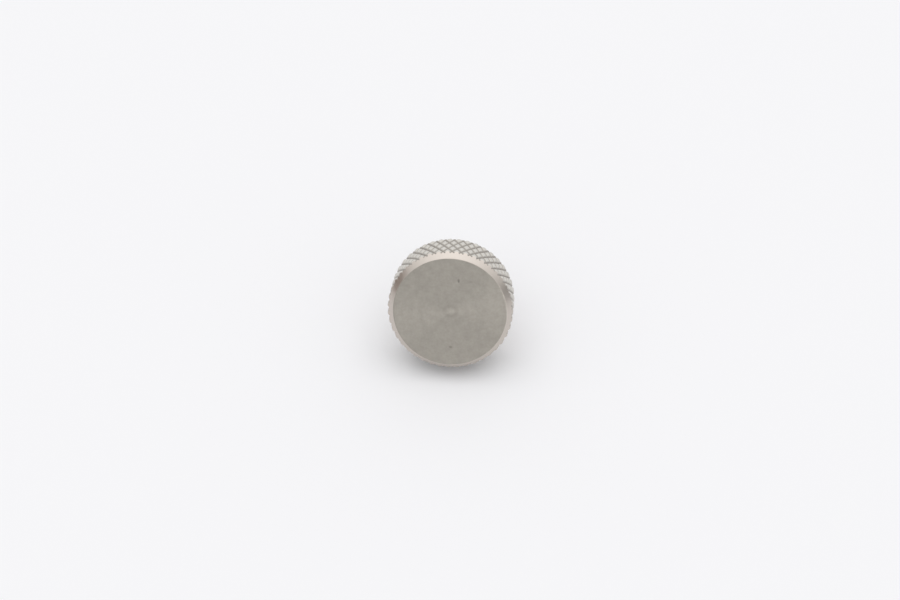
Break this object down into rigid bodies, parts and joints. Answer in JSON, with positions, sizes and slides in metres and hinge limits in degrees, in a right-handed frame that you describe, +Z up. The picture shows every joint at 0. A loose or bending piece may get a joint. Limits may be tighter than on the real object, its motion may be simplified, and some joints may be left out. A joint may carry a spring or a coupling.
{
  "type": "knurled locking screw",
  "caption": "Knurled round-headed locking screw, turned in one piece from stainless steel, tightened by hand to lock a sliding or turning part.",
  "frame": {"origin": "middle of the bottom of the box, on the surface that the screw lies on", "axes": "+Z up, +Y from the head's face towards the tip, level; the screw's own axis dips towards the tip"},
  "size_m": [0.016, 0.0202, 0.0165],
  "materials": {
    "stainless_steel": "turned stainless steel, satin on the face and brighter on the chamfers"
  },
  "bodies": {
    "root": {"locking_screw": "stainless_steel"}
  },
  "joints": []
}
